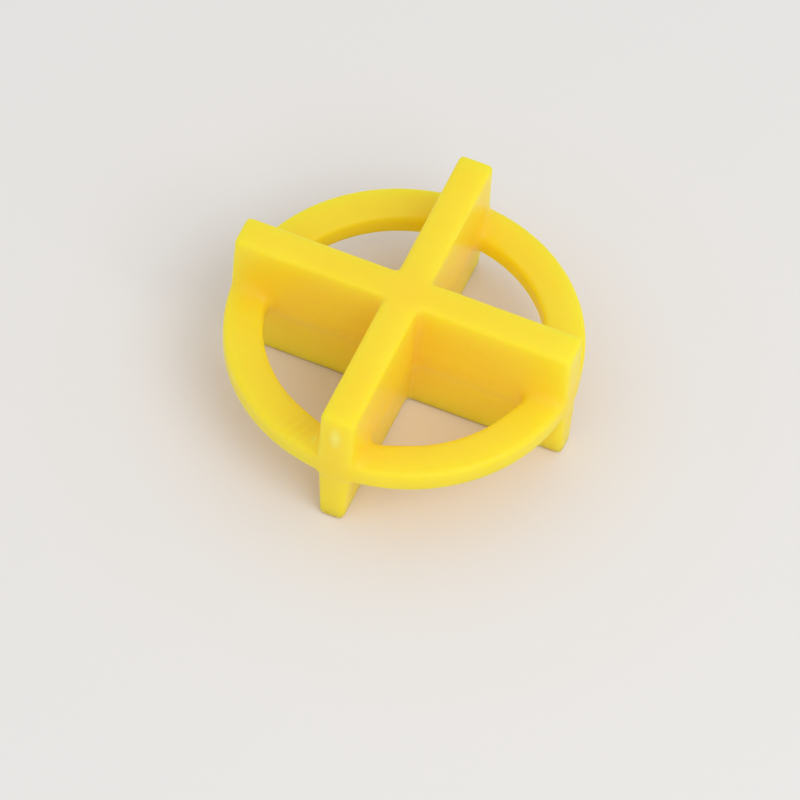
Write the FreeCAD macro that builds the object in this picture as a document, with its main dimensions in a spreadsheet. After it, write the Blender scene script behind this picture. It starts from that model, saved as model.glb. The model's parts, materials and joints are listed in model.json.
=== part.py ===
"""Ringed cross spacer, one moulded piece, in millimetres.

Two upright blades cross on the axis of a flat ring and rise above it. Four tapered legs hang below the
ring in line with the blades. The origin is at the centre of the leg tips, on the plane they stand on:
X runs along one blade, Y along the other and Z up.
"""
import FreeCAD, Part
import math
import os
import Sketcher

# Each size: its name, its value and what it measures.
SIZES = (
    ("blade_length", 30.0, "blades end to end, at the underside of the ring"),
    ("blade_thickness", 3.15, "blades at the underside of the ring"),
    ("blade_rise", 5.5, "crest of the blades above the top of the ring"),
    ("blade_draft", 0.57, "angle at which blade sides and ends lean in towards the crest, degrees"),
    ("blade_edge_radius", 0.35, "rounding of the crest's edges and of the blades' upright end edges"),
    ("corner_radius", 0.3, "upright inner corners where blades or legs cross"),
    ("ring_setback", 0.05, "outer wall of the ring inside the blade ends"),
    ("ring_width", 3.3, "radial width of the ring"),
    ("ring_thickness", 2.05, "height of the ring"),
    ("ring_edge_radius", 0.3, "rounding of the ring's two upper edges"),
    ("ring_chamfer", 0.15, "chamfer of the ring's two lower edges, at the parting plane"),
    ("root_radius", 0.6, "blend between the blade sides and the top of the ring"),
    ("root_overlap", 0.02, "feather edges of that blend inside the faces it joins"),
    ("leg_depth", 5.7, "leg tips below the underside of the ring"),
    ("leg_shoulder", 0.18, "each leg side inside the blade side above it"),
    ("leg_setback", 0.1, "leg ends inside the blade ends"),
    ("leg_draft", 3.3, "angle at which leg sides lean in towards the tips, degrees"),
    ("leg_end_draft", 0.5, "angle at which leg ends lean in towards the tips, degrees"),
    ("leg_edge_radius", 0.4, "rounding of the leg tips and ends"),
)

# Heights and spans that follow from the sizes, as the sheet's own formulas.
RING_MIDDLE = "(Sizes.leg_depth + Sizes.ring_thickness / 2)"
BLADE_HEIGHT = "(Sizes.ring_thickness + Sizes.blade_rise)"
LEG_THICKNESS = "(Sizes.blade_thickness - 2 * Sizes.leg_shoulder)"
LEG_LENGTH = "(Sizes.blade_length - 2 * Sizes.leg_setback)"
RING_RADIUS = "(Sizes.blade_length / 2 - Sizes.ring_setback)"
BORE_RADIUS = "(%s - Sizes.ring_width)" % RING_RADIUS
ROOT_LEVEL = "(Sizes.leg_depth + Sizes.ring_thickness - Sizes.root_overlap)"
ROOT_LEAN = "((Sizes.ring_thickness + Sizes.root_radius) * tan(Sizes.blade_draft * 1 deg))"
ROOT_WAIST = "(Sizes.blade_thickness / 2 - %s - Sizes.root_overlap)" % ROOT_LEAN

doc = FreeCAD.newDocument("tile_spacer")


def make_sheet():
    """The driving sizes, one per row: name, value, meaning."""
    sheet = doc.addObject("Spreadsheet::Sheet", "Sizes")
    for row, (name, value, meaning) in enumerate(SIZES, start=1):
        sheet.set("A%d" % row, name)
        sheet.set("B%d" % row, str(value))
        sheet.set("C%d" % row, meaning)
        sheet.setAlias("B%d" % row, name)
    doc.recompute()


def origin_feature(body, role):
    """The plane or axis of the body's own origin that has this role."""
    return next(item for item in body.Origin.OriginFeatures if item.Role == role)


def finish(body, feature):
    """Make a feature the body's tip and bring the document up to date."""
    body.Tip = feature
    doc.recompute()
    return feature


def new_sketch(body, name, plane):
    """An empty sketch on one of the body's origin planes."""
    sketch = body.newObject("Sketcher::SketchObject", name)
    sketch.AttachmentSupport = (origin_feature(body, plane), [""])
    sketch.MapMode = "FlatFace"
    return sketch


def constrain(sketch, constraints):
    """Add constraints that have no dimension."""
    for constraint in constraints:
        sketch.addConstraint(Sketcher.Constraint(*constraint))


def bind(sketch, name, formula, *constraint):
    """Add a dimension to a sketch and tie it to a formula."""
    number = sketch.addConstraint(Sketcher.Constraint(*constraint))
    sketch.renameConstraint(number, name)
    sketch.setExpression("Constraints." + name, formula)


def four_sides(body, name, plane, corners, constraints):
    """A sketch of four lines in a loop. The corners only give its sense: dimensions give its size."""
    sketch = new_sketch(body, name, plane)
    points = [FreeCAD.Vector(x, y, 0) for x, y in corners]
    for side in range(4):
        sketch.addGeometry(Part.LineSegment(points[side], points[(side + 1) % 4]), False)
    constrain(sketch, [("Coincident", side, 2, (side + 1) % 4, 1) for side in range(4)])
    constrain(sketch, constraints)
    return sketch


def box_outline(body, name, plane):
    """A rectangle: bottom, right, top and left."""
    level_and_upright = (("Horizontal", 0), ("Vertical", 1), ("Horizontal", 2), ("Vertical", 3))
    return four_sides(body, name, plane, ((1, 1), (9, 1), (9, 3), (1, 3)), level_and_upright)


def crossed(body, bar, name):
    """A bar and its copy a quarter turn on."""
    cross = body.newObject("PartDesign::PolarPattern", name)
    cross.Originals = [bar]
    cross.Axis = (origin_feature(body, "Z_Axis"), [""])
    cross.Angle = 90
    cross.Occurrences = 2
    return finish(body, cross)


def turned(body, section, name):
    """A section turned once about the axis."""
    solid = body.newObject("PartDesign::Revolution", name)
    solid.Profile = section
    solid.ReferenceAxis = (section, ["V_Axis"])
    solid.Angle = 360
    return finish(body, solid)


def combine(body, name, kind, others):
    """Fuse or intersect what the body holds with other bodies."""
    combined = body.newObject("PartDesign::Boolean", name)
    combined.setObjects(others)
    combined.Type = kind
    return finish(body, combined)


def numbered(kind, items, chosen):
    """The names of the faces or edges that pass a test."""
    return ["%s%d" % (kind, number) for number, item in enumerate(items, start=1) if chosen(item)]


def draft(body, name, base, chosen, level, angle, downwards):
    """Lean the faces that pass the test inwards, up or down from a level. Level and angle are formulas."""
    plane = body.newObject("PartDesign::Plane", name + "Level")
    plane.AttachmentSupport = (origin_feature(body, "XY_Plane"), [""])
    plane.MapMode = "FlatFace"
    plane.setExpression("AttachmentOffset.Base.z", level)
    leaning = body.newObject("PartDesign::Draft", name)
    leaning.Base = (base, numbered("Face", base.Shape.Faces, chosen))
    leaning.NeutralPlane = (plane, [""])
    leaning.Reversed = downwards
    leaning.setExpression("Angle", angle)
    return finish(body, leaning)


def fillet(body, name, base, chosen, radius):
    """Round the edges that pass the test, with a radius given as a formula."""
    rounding = body.newObject("PartDesign::Fillet", name)
    rounding.Base = (base, numbered("Edge", base.Shape.Edges, chosen))
    rounding.setExpression("Radius", radius)
    return finish(body, rounding)


def upright(edge):
    """True for an edge that climbs more than it runs."""
    start, end = edge.Vertexes[0].Point, edge.Vertexes[-1].Point
    return abs(end.z - start.z) > (end - start).Length / 2


def inner_corner(edge):
    """True for an upright edge where two bars cross."""
    middle = edge.CenterOfMass
    return upright(edge) and abs(abs(middle.x) - abs(middle.y)) < 0.01


def end_corner(edge):
    """True for an upright edge at the end of a bar."""
    middle = edge.CenterOfMass
    return upright(edge) and abs(abs(middle.x) - abs(middle.y)) > 1


def level_at(height):
    """A test for edges that lie flat at this height."""
    return lambda edge: all(abs(vertex.Z - height) < 0.001 for vertex in edge.Vertexes)


def upright_face(face):
    """True for a side or an end of a bar."""
    return abs(face.normalAt(0, 0).z) < 0.5


def end_face(face):
    """True for an end of a bar: it lies across one of the two axes."""
    middle = face.CenterOfMass
    return upright_face(face) and min(abs(middle.x), abs(middle.y)) < 0.01


def side_face(face):
    """True for a side of a bar."""
    return upright_face(face) and not end_face(face)


def upright_cross(body, name, level, height, length, thickness):
    """Two crossed bars of rectangular plan. Every size is a formula."""
    plan = box_outline(body, name + "Plan", "XY_Plane")
    plan.setExpression("AttachmentOffset.Base.z", level)
    constrain(plan, [("Symmetric", 0, 1, 1, 2, -1, 1)])
    bind(plan, "length", length, "DistanceX", 0, 1, 0, 2, 8.0)
    bind(plan, "thickness", thickness, "DistanceY", 1, 1, 1, 2, 2.0)
    bar = body.newObject("PartDesign::Pad", name + "Bar")
    bar.Profile = plan
    bar.setExpression("Length", height)
    return crossed(body, bar, name + "Cross")


def make_blades():
    """The crossed blades, from the underside of the ring to the crest, with every edge rounded but their foot."""
    body = doc.addObject("PartDesign::Body", "Blades")
    level = "Sizes.leg_depth"
    cross = upright_cross(body, "Blade", level, BLADE_HEIGHT, "Sizes.blade_length", "Sizes.blade_thickness")
    leaning = draft(body, "BladeDraft", cross, upright_face, level, "Sizes.blade_draft", False)
    corners = fillet(body, "BladeCorners", leaning, inner_corner, "Sizes.corner_radius")
    at_crest = level_at(max(vertex.Z for vertex in corners.Shape.Vertexes))

    def outer(edge):
        return end_corner(edge) or at_crest(edge)

    fillet(body, "BladeEdges", corners, outer, "min(Sizes.blade_edge_radius; Sizes.blade_thickness / 4)")
    return body


def make_legs():
    """The crossed legs, with tips and ends rounded.

    They run on up to the middle of the ring, so that they join it by their whole section.
    """
    body = doc.addObject("PartDesign::Body", "Legs")
    root = "Sizes.leg_depth"
    cross = upright_cross(body, "Leg", "0", RING_MIDDLE, LEG_LENGTH, LEG_THICKNESS)
    sides = draft(body, "LegSideDraft", cross, side_face, root, "Sizes.leg_draft", True)
    ends = draft(body, "LegEndDraft", sides, end_face, root, "Sizes.leg_end_draft", True)
    corners = fillet(body, "LegCorners", ends, inner_corner, "Sizes.corner_radius")
    at_tip = level_at(0)

    def outer(edge):
        return end_corner(edge) or at_tip(edge)

    fillet(body, "LegEdges", corners, outer, "min(Sizes.leg_edge_radius; %s / 4)" % LEG_THICKNESS)
    return body


def make_ring(body):
    """The flat ring: a section turned about the axis, rounded above and chamfered below."""
    section = box_outline(body, "RingSection", "XZ_Plane")
    bind(section, "bore", BORE_RADIUS, "DistanceX", -1, 1, 0, 1, 1.0)
    bind(section, "rim", RING_RADIUS, "DistanceX", -1, 1, 0, 2, 9.0)
    bind(section, "underside", "Sizes.leg_depth", "DistanceY", -1, 1, 0, 1, 1.0)
    bind(section, "thickness", "Sizes.ring_thickness", "DistanceY", 1, 1, 1, 2, 2.0)
    ring = turned(body, section, "RingTurned")
    heights = [vertex.Z for vertex in ring.Shape.Vertexes]
    at_top, at_underside = level_at(max(heights)), level_at(min(heights))
    rounded = fillet(body, "RingEdges", ring, at_top, "min(Sizes.ring_edge_radius; Sizes.ring_thickness / 3)")
    chamfer = body.newObject("PartDesign::Chamfer", "RingChamfer")
    chamfer.Base = (rounded, numbered("Edge", rounded.Shape.Edges, at_underside))
    chamfer.setExpression("Size", "Sizes.ring_chamfer")
    finish(body, chamfer)


def hollow_sided(body, name, plane, left, right, waist_rule):
    """A sketch that is level below and above, and hollowed at both sides by a quarter round.

    It stands on the top of the ring. The rule levels its narrow upper side, the waist. Left and right
    only give its sense: dimensions give its size.
    """
    sketch = new_sketch(body, name, plane)
    foot = [FreeCAD.Vector(x, 8, 0) for x in (left - 0.5, right + 0.5)]
    waist = [FreeCAD.Vector(x, 8.5, 0) for x in (right, left)]
    sketch.addGeometry(Part.LineSegment(*foot), False)
    sketch.addGeometry(Part.LineSegment(*waist), False)
    for x, start in ((right + 0.5, math.pi), (left - 0.5, 1.5 * math.pi)):
        hollow = Part.Circle(FreeCAD.Vector(x, 8.5, 0), FreeCAD.Vector(0, 0, 1), 0.5)
        sketch.addGeometry(Part.ArcOfCircle(hollow, start, start + math.pi / 2), False)
    constrain(sketch, (("Horizontal", 0), waist_rule))
    constrain(sketch, (("Coincident", 2, 1, 1, 1), ("Coincident", 2, 2, 0, 2)))
    constrain(sketch, (("Coincident", 3, 1, 0, 1), ("Coincident", 3, 2, 1, 2)))
    constrain(sketch, (("Vertical", 2, 3, 0, 2), ("Horizontal", 2, 3, 1, 1)))
    constrain(sketch, (("Vertical", 3, 3, 0, 1), ("Horizontal", 3, 3, 1, 2)))
    bind(sketch, "level", ROOT_LEVEL, "DistanceY", -1, 1, 0, 2, 8.0)
    bind(sketch, "radius", "Sizes.root_radius", "Radius", 2, 0.5)
    return sketch


def make_root_span():
    """Where the blends lie: over the flat top of the ring, fading out towards its rounded edges."""
    body = doc.addObject("PartDesign::Body", "RootSpan")
    section = hollow_sided(body, "SpanSection", "XZ_Plane", 12.5, 14.1, ("Horizontal", 1))
    bind(section, "inner", BORE_RADIUS + " + Sizes.ring_edge_radius", "DistanceX", -1, 1, 0, 1, 12.0)
    bind(section, "outer", RING_RADIUS + " - Sizes.ring_edge_radius", "DistanceX", -1, 1, 0, 2, 14.6)
    turned(body, section, "SpanTurned")
    return body


def make_roots():
    """The blends between the blade sides and the ring: crossed hollow-sided bars, kept over the ring only."""
    body = doc.addObject("PartDesign::Body", "Roots")
    section = hollow_sided(body, "RootSection", "YZ_Plane", -1.5, 1.5, ("Symmetric", 1, 1, 1, 2, -2))
    bind(section, "waist", ROOT_WAIST, "DistanceX", -1, 1, 1, 1, 1.5)
    bar = body.newObject("PartDesign::Pad", "RootBar")
    bar.Profile = section
    bar.setExpression("Length", "2 * " + RING_RADIUS)
    bar.Midplane = True
    crossed(body, bar, "RootCross")
    combine(body, "RootsOverRing", "Common", [make_root_span()])
    return body


def check(body):
    """Stop if any object failed, or if the body isn't one sound solid."""
    for item in doc.Objects:
        if "Invalid" in item.State or "Error" in item.State:
            raise RuntimeError("%s failed: %s" % (item.Name, item.State))
    shape = body.Shape
    if shape.isNull() or not shape.isValid() or len(shape.Solids) != 1:
        raise RuntimeError("%s isn't one sound solid" % body.Label)


make_sheet()
spacer = doc.addObject("PartDesign::Body", "TileSpacer")
spacer.Label = "tile_spacer"
make_ring(spacer)
combine(spacer, "Joined", "Fuse", [make_blades(), make_legs(), make_roots()])
check(spacer)
os.makedirs("parts", exist_ok=True)
spacer.Shape.exportStep("parts/%s.step" % spacer.Label)
print("%s: %.1f cubic millimetres" % (spacer.Label, spacer.Shape.Volume))
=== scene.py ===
import json
import math

import bpy
from mathutils import Matrix, Vector

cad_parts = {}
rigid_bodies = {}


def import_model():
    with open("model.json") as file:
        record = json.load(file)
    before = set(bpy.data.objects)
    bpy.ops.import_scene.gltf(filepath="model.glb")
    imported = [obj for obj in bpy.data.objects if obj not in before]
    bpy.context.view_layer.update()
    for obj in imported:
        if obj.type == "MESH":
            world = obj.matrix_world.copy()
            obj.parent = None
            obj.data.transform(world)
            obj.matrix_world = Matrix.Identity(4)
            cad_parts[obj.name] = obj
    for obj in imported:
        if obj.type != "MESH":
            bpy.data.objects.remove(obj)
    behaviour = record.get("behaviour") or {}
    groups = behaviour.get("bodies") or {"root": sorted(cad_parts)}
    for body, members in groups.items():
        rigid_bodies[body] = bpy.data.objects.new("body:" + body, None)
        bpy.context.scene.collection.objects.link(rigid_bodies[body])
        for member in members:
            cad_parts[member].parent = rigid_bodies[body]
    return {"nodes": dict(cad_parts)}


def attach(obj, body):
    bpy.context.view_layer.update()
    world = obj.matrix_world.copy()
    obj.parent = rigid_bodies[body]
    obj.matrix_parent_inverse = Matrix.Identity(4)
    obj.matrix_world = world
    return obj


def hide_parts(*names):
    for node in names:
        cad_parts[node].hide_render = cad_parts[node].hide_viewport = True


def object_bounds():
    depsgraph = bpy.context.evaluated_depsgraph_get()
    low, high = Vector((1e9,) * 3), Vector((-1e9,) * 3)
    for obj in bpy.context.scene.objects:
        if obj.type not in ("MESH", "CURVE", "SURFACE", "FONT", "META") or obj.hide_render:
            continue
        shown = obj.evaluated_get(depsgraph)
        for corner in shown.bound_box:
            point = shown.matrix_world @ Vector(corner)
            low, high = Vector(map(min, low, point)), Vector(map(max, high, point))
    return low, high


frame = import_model()
cad_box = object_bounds()

# A ringed cross spacer of slightly translucent yellow plastic, on a plain pale floor.
# Lengths are in metres and angles in radians. The first sizes and levels are the solid's.
MM = 0.001
RING_RADIUS = 14.95 * MM
BORE_RADIUS = 11.65 * MM
BLADE_THICKNESS = 3.1 * MM
SHOULDER = 5.7 * MM
RING_MIDDLE = 6.725 * MM
RING_TOP = 7.75 * MM
CREST = 13.25 * MM

# The even mesh that the solid's copy gets, and the rounds of smoothing all over and in three places.
MERGE_DISTANCE = 1e-7
MESH_STEP = 0.18 * MM
EASE_FACTOR = 0.5
EDGE_ROUNDS = 9
ROOT_ROUNDS = 220
SHOULDER_ROUNDS = 40
CORNER_ROUNDS = 60

# Where the blades' sides stand on the ring: how far the blend reaches, and how it ends at the rim and below.
ROOT_REACH = 3.6 * MM
ROOT_RIM_MARGIN = 0.1 * MM
ROOT_RIM_FADE = 0.4 * MM
ROOT_BOTTOM = RING_TOP - 1.6 * MM
ROOT_BOTTOM_FULL = RING_TOP - 1.2 * MM

# The level where the legs set back from the blades, on the sides inside the ring and on the blades' ends.
SHOULDER_REACH = 0.8 * MM
SIDE_FADE = 1.0 * MM
END_START = RING_RADIUS - 0.6 * MM
END_FULL = RING_RADIUS - 0.3 * MM
END_HALF_WIDTH = 1.4 * MM
END_FADE = 0.4 * MM

# The upright inner corners where the blades cross, left as they are at the crest and at the tips.
CORNER_REACH = 1.5 * MM
CORNER_MARGIN = 0.2 * MM
CORNER_TOP_FULL = 2.0 * MM
CORNER_TIP_FULL = 1.0 * MM

# The mark that the mould's inlet leaves on the end of the near blade: a soft oval, a little proud, and paler
# by a painted highlight.
INLET_PLACE = (0.0, -14.95 * MM, 11.05 * MM)
INLET_REACH = (0.62 * MM, 0.60 * MM, 1.60 * MM)
INLET_RISE = 0.045 * MM
INLET_SLOPE = (0.05, 0.45)

# Faint ripples across the ring beside that blade's left root, their light and shade painted as darker lines
# over their bump, with a small painted highlight next to them.
RIPPLE_PLACE = (-3.9 * MM, -13.1 * MM, 7.75 * MM)
RIPPLE_REACH = (2.2 * MM, 1.8 * MM, 1.5 * MM)
RIPPLE_STEP = 0.85 * MM
RIPPLE_TURN = 0.455
# A small painted highlight: a pale spot where light glints on the ring beside the root.
PAINTED_GLINT_PLACE = (-2.35 * MM, -13.5 * MM, 8.0 * MM)
PAINTED_GLINT_REACH = (0.28 * MM, 0.55 * MM, 0.8 * MM)

# Fine level lines that the mould left low on the blades' sides.
LEVEL_PLACE = (0.0, 0.0, 6.75 * MM)
LEVEL_REACH = (11.4 * MM, 11.4 * MM, 0.95 * MM)
LEVEL_STEP = 0.46 * MM

# How ripples and level lines waver.
LINE_DISTORTION = 1.2
LINE_DETAIL = 1.0
LINE_DETAIL_SCALE = 0.3

# The share of its reach at which each mark's soft border starts.
MARK_SOFTNESS = 0.1
RIPPLE_SOFTNESS = 0.2
LEVEL_SOFTNESS = 0.4

# Tints in screen values from 0 to 255, and the most that a mark takes of its own tint.
DEEP_YELLOW = (255, 208, 47)
LIGHT_YELLOW = (255, 214, 54)
# The inlet mark's paler tint is a painted highlight on the real raised mark.
INLET_PAINTED_HIGHLIGHT_TINT = (255, 230, 126)
INLET_PAINTED_HIGHLIGHT_SHARE = 0.8
# The painted highlight beside the root.
PAINTED_GLINT_TINT = (255, 238, 105)
PAINTED_GLINT_SHARE = 0.7
# The level lines' own darker tint, which on the ripples is painted shade.
LINE_AND_RIPPLE_SHADE_TINT = (245, 190, 36)
LINE_AND_RIPPLE_SHADE_SHARE = 0.28

# Noise patterns, in waves per metre, and the middle part of their values that is spread out.
CLOUDS = 120.0
WAVES = 260.0
HAZE = 900.0
STREAKS = 1500.0
STREAK_STRETCH = (0.06, 0.06, 1.0)
GRAIN = 5200.0
NOISE_DETAIL = 2.0
NOISE_LOW = 0.3
NOISE_HIGH = 0.7

# The depth and the strength of each bump.
WAVE_BUMP = (0.12 * MM, 0.25)
STREAK_BUMP = (0.03 * MM, 0.3)
LEVEL_BUMP = (0.04 * MM, 0.6)
RIPPLE_BUMP = (0.08 * MM, 0.6)
GRAIN_BUMP = (0.01 * MM, 0.25)

# The plastic's gloss, and how far red, green and blue light spread inside it.
SMOOTHEST = 0.30
ROUGHEST = 0.42
PLASTIC_IOR = 1.5
PLASTIC_GLOSS = 0.25
SPREAD_SHARES = (0.8, 0.9, 0.12)
SPREAD_LENGTH = 6.0 * MM

# The camera, found from the photograph: distance in ring radii, turns in radians, focal length in pixels.
VIEW_DISTANCE = 40.992 * RING_RADIUS
VIEW_AZIMUTH = 0.3290
VIEW_ELEVATION = 0.92327
VIEW_TURN = Vector((-0.0085, 0.0002, 0.0849))
VIEW_END = 10.0
FOCAL_PIXELS = 7440.8
FRAME_PIXELS = 800
SENSOR_WIDTH = 36.0

FLOOR_SIZE = 2.0
FLOOR_COLOUR = (0.80, 0.785, 0.77)
FLOOR_ROUGHNESS = 0.6
FLOOR_GLOSS = 0.3

# One soft lamp in even light. Its level is what it adds to a white sheet lying at the origin.
KEY_DIRECTION = (0.85, -0.50, 1.10)
KEY_DISTANCE = 0.55
KEY_SIZE = 0.42
KEY_LEVEL = 0.25
SKY_LEVEL = 0.79

scene = bpy.context.scene


# Materials


def linear(red, green, blue):
    """A colour given in screen values from 0 to 255, as light."""
    values = (channel / 255 for channel in (red, green, blue))
    return tuple(v / 12.92 if v <= 0.04045 else ((v + 0.055) / 1.055) ** 2.4 for v in values) + (1.0,)


def add_node(tree, kind, **inputs):
    """A shader node with its named inputs set."""
    node = tree.nodes.new(kind)
    for name, value in inputs.items():
        node.inputs[name.replace("_", " ")].default_value = value
    return node


def new_material(name):
    """A material with its own Principled shader, returned as material, tree and shader."""
    material = bpy.data.materials.new(name)
    material.use_nodes = True
    tree = material.node_tree
    return material, tree, tree.nodes["Principled BSDF"]


def noise(tree, coordinates, scale, stretch=(1.0, 1.0, 1.0)):
    """A noise pattern of a number of waves per metre, drawn out along the axes by stretch."""
    mapping = tree.nodes.new("ShaderNodeMapping")
    mapping.inputs["Scale"].default_value = stretch
    tree.links.new(coordinates, mapping.inputs["Vector"])
    pattern = add_node(tree, "ShaderNodeTexNoise", Scale=scale, Detail=NOISE_DETAIL)
    tree.links.new(mapping.outputs["Vector"], pattern.inputs["Vector"])
    return pattern.outputs["Fac"]


def blend_range(tree, value, low, high, out_low, out_high):
    """A value's range from low to high, spread over another range."""
    spread = add_node(tree, "ShaderNodeMapRange")
    ends = (("From Min", low), ("From Max", high), ("To Min", out_low), ("To Max", out_high))
    for name, number in ends:
        spread.inputs[name].default_value = number
    tree.links.new(value, spread.inputs["Value"])
    return spread.outputs["Result"]


def multiply(tree, first, second):
    """The product of two values."""
    product = tree.nodes.new("ShaderNodeMath")
    product.operation = "MULTIPLY"
    tree.links.new(first, product.inputs[0])
    tree.links.new(second, product.inputs[1])
    return product.outputs["Value"]


def spot(tree, coordinates, centre, reach, soft):
    """1 inside an oval spot and 0 outside, with a soft border that starts at a share of its reach."""
    mapping = tree.nodes.new("ShaderNodeMapping")
    mapping.vector_type = "TEXTURE"
    mapping.inputs["Location"].default_value = centre
    mapping.inputs["Scale"].default_value = reach
    tree.links.new(coordinates, mapping.inputs["Vector"])
    length = tree.nodes.new("ShaderNodeVectorMath")
    length.operation = "LENGTH"
    tree.links.new(mapping.outputs["Vector"], length.inputs[0])
    return blend_range(tree, length.outputs["Value"], soft, 1.0, 1.0, 0.0)


def lines(tree, coordinates, across, step, turn, mask):
    """Wavering parallel lines, counted along an axis and turned about Z, that fade out with a mask."""
    mapping = tree.nodes.new("ShaderNodeMapping")
    mapping.inputs["Rotation"].default_value = (0.0, 0.0, turn)
    tree.links.new(coordinates, mapping.inputs["Vector"])
    pattern = add_node(
        tree,
        "ShaderNodeTexWave",
        Scale=math.pi / (10 * step),
        Distortion=LINE_DISTORTION,
        Detail=LINE_DETAIL,
        Detail_Scale=LINE_DETAIL_SCALE,
    )
    pattern.bands_direction = across
    tree.links.new(mapping.outputs["Vector"], pattern.inputs["Vector"])
    return multiply(tree, mask, pattern.outputs["Fac"])


def blend_colours(tree, factor, first, second):
    """A mix by a factor that varies over the surface. The first is a colour or another mix's output."""
    mix = tree.nodes.new("ShaderNodeMix")
    mix.data_type = "RGBA"
    colour_inputs = [socket for socket in mix.inputs if socket.type == "RGBA"]
    if isinstance(first, tuple):
        colour_inputs[0].default_value = first
    else:
        tree.links.new(first, colour_inputs[0])
    colour_inputs[1].default_value = second
    tree.links.new(factor, mix.inputs["Factor"])
    return next(socket for socket in mix.outputs if socket.type == "RGBA")


def mark(tree, colour, mask, tint, share):
    """A colour with up to a share of a tint mixed in where a mask says."""
    factor = blend_range(tree, mask, 0.0, 1.0, 0.0, share)
    return blend_colours(tree, factor, colour, linear(*tint))


def bump(tree, height, depth, strength, below=None):
    """A bump of a height pattern, on top of another bump if one is given."""
    relief = add_node(tree, "ShaderNodeBump", Distance=depth, Strength=strength)
    tree.links.new(height, relief.inputs["Height"])
    if below is not None:
        tree.links.new(below, relief.inputs["Normal"])
    return relief.outputs["Normal"]


def plastic_colour(tree, place, ripples, level_lines):
    """Yellow that drifts slowly between two tints, with the inlet mark's painted highlight, a small painted
    highlight beside the root, the ripples' painted shade and the level lines on it.
    """
    clouds = blend_range(tree, noise(tree, place, CLOUDS), NOISE_LOW, NOISE_HIGH, 0.0, 1.0)
    colour = blend_colours(tree, clouds, linear(*LIGHT_YELLOW), linear(*DEEP_YELLOW))
    # The real inlet mark, made paler by a painted highlight.
    inlet = spot(tree, place, INLET_PLACE, INLET_REACH, MARK_SOFTNESS)
    colour = mark(tree, colour, inlet, INLET_PAINTED_HIGHLIGHT_TINT, INLET_PAINTED_HIGHLIGHT_SHARE)
    # A painted highlight beside the near blade's left root.
    painted_glint = spot(tree, place, PAINTED_GLINT_PLACE, PAINTED_GLINT_REACH, MARK_SOFTNESS)
    colour = mark(tree, colour, painted_glint, PAINTED_GLINT_TINT, PAINTED_GLINT_SHARE)
    # The ripples' light and shade, painted as darker lines on top of their bump.
    colour = mark(tree, colour, ripples, LINE_AND_RIPPLE_SHADE_TINT, LINE_AND_RIPPLE_SHADE_SHARE)
    return mark(tree, colour, level_lines, LINE_AND_RIPPLE_SHADE_TINT, LINE_AND_RIPPLE_SHADE_SHARE)


def plastic_relief(tree, place, ripples, level_lines):
    """The surface's fine unevenness: long waves, level streaks, the lines and a fine grain."""
    relief = bump(tree, noise(tree, place, WAVES), *WAVE_BUMP)
    relief = bump(tree, noise(tree, place, STREAKS, STREAK_STRETCH), *STREAK_BUMP, relief)
    relief = bump(tree, level_lines, *LEVEL_BUMP, relief)
    relief = bump(tree, ripples, *RIPPLE_BUMP, relief)
    return bump(tree, noise(tree, place, GRAIN), *GRAIN_BUMP, relief)


def yellow_plastic():
    """Moulded yellow plastic: waxy, slightly translucent, with a soft satin gloss."""
    material, tree, shader = new_material("yellow_plastic")
    place = tree.nodes.new("ShaderNodeTexCoord").outputs["Object"]
    ripple_mask = spot(tree, place, RIPPLE_PLACE, RIPPLE_REACH, RIPPLE_SOFTNESS)
    ripples = lines(tree, place, "X", RIPPLE_STEP, RIPPLE_TURN, ripple_mask)
    level_mask = spot(tree, place, LEVEL_PLACE, LEVEL_REACH, LEVEL_SOFTNESS)
    level_lines = lines(tree, place, "Z", LEVEL_STEP, 0.0, level_mask)
    haze = blend_range(tree, noise(tree, place, HAZE), NOISE_LOW, NOISE_HIGH, SMOOTHEST, ROUGHEST)
    tree.links.new(plastic_colour(tree, place, ripples, level_lines), shader.inputs["Base Color"])
    tree.links.new(haze, shader.inputs["Roughness"])
    tree.links.new(plastic_relief(tree, place, ripples, level_lines), shader.inputs["Normal"])
    shader.inputs["IOR"].default_value = PLASTIC_IOR
    shader.inputs["Specular IOR Level"].default_value = PLASTIC_GLOSS
    shader.inputs["Subsurface Weight"].default_value = 1.0
    shader.inputs["Subsurface Radius"].default_value = SPREAD_SHARES
    shader.inputs["Subsurface Scale"].default_value = SPREAD_LENGTH
    return material


def pale_floor():
    """A plain pale surface with a faint sheen."""
    material, _, shader = new_material("pale_floor")
    shader.inputs["Base Color"].default_value = FLOOR_COLOUR + (1.0,)
    shader.inputs["Roughness"].default_value = FLOOR_ROUGHNESS
    shader.inputs["Specular IOR Level"].default_value = FLOOR_GLOSS
    return material


# The moulding


def deselect_all():
    """Operators act on all that is selected, so nothing is."""
    for item in bpy.context.view_layer.objects:
        item.select_set(False)


def select_only(piece):
    """Make one piece the active and only selected one."""
    deselect_all()
    piece.select_set(True)
    bpy.context.view_layer.objects.active = piece


def fade(value, low, high):
    """0 below low, 1 above high, and a straight ramp between them."""
    return min(1.0, max(0.0, (value - low) / (high - low)))


def root_weight(place):
    """How near a point is to where a blade's side stands on the ring: 1 at the root and 0 away from it."""
    beside = abs(min(abs(place.x), abs(place.y)) - BLADE_THICKNESS / 2)
    along = math.hypot(place.x, place.y)
    return (
        fade(ROOT_REACH - beside, 0, ROOT_REACH) ** 3
        * fade(along, BORE_RADIUS - ROOT_REACH, BORE_RADIUS)
        * fade(RING_RADIUS - ROOT_RIM_MARGIN - along, 0, ROOT_RIM_FADE)
        * fade(RING_TOP + ROOT_REACH - place.z, 0, ROOT_REACH)
        * fade(place.z, ROOT_BOTTOM, ROOT_BOTTOM_FULL)
    )


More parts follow.
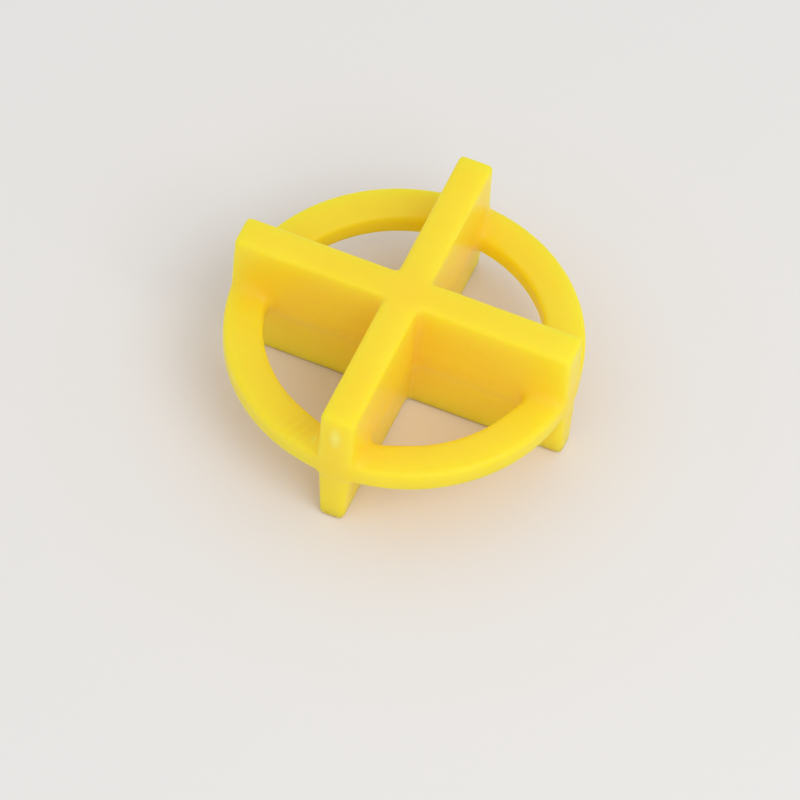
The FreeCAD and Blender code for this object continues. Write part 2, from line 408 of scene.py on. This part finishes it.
def shoulder_weight(place):
    """How near a point of a blade's side or end is to the level where the leg sets back from the blade."""
    along = math.hypot(place.x, place.y)
    beside = min(abs(place.x), abs(place.y))
    side = fade(BORE_RADIUS - along, 0, SIDE_FADE)
    end = fade(along, END_START, END_FULL) * fade(END_HALF_WIDTH - beside, 0, END_FADE)
    return max(side, end) * fade(SHOULDER_REACH - abs(place.z - SHOULDER), 0, SHOULDER_REACH / 2)


def corner_weight(place):
    """How near a point is to an inner corner of the crossed blades, fading out at the crest and the tips."""
    half = BLADE_THICKNESS / 2
    away = math.hypot(abs(place.x) - half, abs(place.y) - half)
    return (
        fade(CORNER_REACH - away, 0, CORNER_REACH)
        * fade(CREST - place.z, CORNER_MARGIN, CORNER_TOP_FULL)
        * fade(place.z, CORNER_MARGIN, CORNER_TIP_FULL)
    )


def ease(piece, name, rounds, group=""):
    """Smooth a piece's surface by a number of rounds, all over or where its vertex group says."""
    smoothing = piece.modifiers.new(name, "SMOOTH")
    smoothing.factor = EASE_FACTOR
    smoothing.iterations = rounds
    smoothing.vertex_group = group
    select_only(piece)
    bpy.ops.object.modifier_apply(modifier=name)


def ease_near(piece, name, weigh, rounds):
    """Smooth a piece where a weight function says."""
    group = piece.vertex_groups.new(name=name)
    for vertex in piece.data.vertices:
        weight = weigh(vertex.co)
        if weight > 0:
            group.add([vertex.index], weight, "REPLACE")
    ease(piece, "ease_" + name, rounds, name)


def raise_inlet(piece):
    """Raise the soft oval of the inlet mark out of the near blade's end."""
    for vertex in piece.data.vertices:
        measures = zip(vertex.co, INLET_PLACE, INLET_REACH)
        distance = math.hypot(*((at - middle) / reach for at, middle, reach in measures))
        if distance < 1:
            vertex.co.y -= INLET_RISE * fade(1 - distance, *INLET_SLOPE)


def keep_inside(piece, box):
    """Hold every point of a piece inside a box of two corners."""
    low, high = box
    for vertex in piece.data.vertices:
        vertex.co = [min(max(at, first), last) for at, first, last in zip(vertex.co, low, high)]


def make_moulding(solid):
    """The spacer as moulded: a copy of its solid in an even mesh, with edges eased and roots blended."""
    piece = bpy.data.objects.new("moulding", solid.data.copy())
    scene.collection.objects.link(piece)
    select_only(piece)
    bpy.ops.object.mode_set(mode="EDIT")
    bpy.ops.mesh.select_all(action="SELECT")
    bpy.ops.mesh.remove_doubles(threshold=MERGE_DISTANCE)
    bpy.ops.object.mode_set(mode="OBJECT")
    even = piece.modifiers.new("even_mesh", "REMESH")
    even.mode = "VOXEL"
    even.voxel_size = MESH_STEP
    bpy.ops.object.modifier_apply(modifier="even_mesh")
    ease(piece, "ease_all", EDGE_ROUNDS)
    ease_near(piece, "roots", root_weight, ROOT_ROUNDS)
    ease_near(piece, "shoulders", shoulder_weight, SHOULDER_ROUNDS)
    ease_near(piece, "corners", corner_weight, CORNER_ROUNDS)
    raise_inlet(piece)
    keep_inside(piece, cad_box)
    piece.data.shade_smooth()
    piece.data.materials.clear()
    piece.data.materials.append(yellow_plastic())
    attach(piece, "root")
    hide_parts("tile_spacer")


# The camera, the light and the floor


def make_camera():
    """The photograph's viewpoint."""
    across = math.cos(VIEW_ELEVATION)
    sideways = math.sin(VIEW_AZIMUTH) * across
    back = -math.cos(VIEW_AZIMUTH) * across
    away = Vector((sideways, back, math.sin(VIEW_ELEVATION)))
    right = Vector((0, 0, 1)).cross(away).normalized()
    up = away.cross(right)
    look = Matrix((right, up, away)).transposed()
    turn = Matrix.Rotation(VIEW_TURN.length, 3, VIEW_TURN.normalized())
    data = bpy.data.cameras.new("camera")
    data.sensor_width = SENSOR_WIDTH
    data.lens = FOCAL_PIXELS * SENSOR_WIDTH / FRAME_PIXELS
    data.clip_end = VIEW_END
    camera = bpy.data.objects.new("camera", data)
    camera.matrix_world = (look @ turn).to_4x4()
    camera.matrix_world.translation = away * VIEW_DISTANCE + Vector((0, 0, RING_MIDDLE))
    scene.collection.objects.link(camera)
    scene.camera = camera


def make_key():
    """A round soft lamp that looks at the origin."""
    direction = Vector(KEY_DIRECTION).normalized()
    data = bpy.data.lights.new("key", "AREA")
    data.shape = "DISK"
    data.size = KEY_SIZE
    data.energy = math.pi ** 2 * KEY_LEVEL * KEY_DISTANCE ** 2 / direction.z
    lamp = bpy.data.objects.new("key", data)
    lamp.location = direction * KEY_DISTANCE
    lamp.rotation_euler = direction.to_track_quat("Z", "Y").to_euler()
    scene.collection.objects.link(lamp)


def make_sky():
    """Even white light from all round."""
    world = bpy.data.worlds.new("studio")
    world.use_nodes = True
    background = world.node_tree.nodes["Background"]
    background.inputs["Color"].default_value = (1.0, 1.0, 1.0, 1.0)
    background.inputs["Strength"].default_value = SKY_LEVEL
    scene.world = world


def make_floor():
    """The surface that the leg tips stand on."""
    deselect_all()
    bpy.ops.mesh.primitive_plane_add(size=FLOOR_SIZE, location=(0, 0, 0))
    floor = bpy.context.object
    floor.name = "floor"
    floor.data.materials.append(pale_floor())


make_camera()
make_key()
make_sky()
make_floor()
make_moulding(frame["nodes"]["tile_spacer"])

scene.view_settings.view_transform = "Standard"
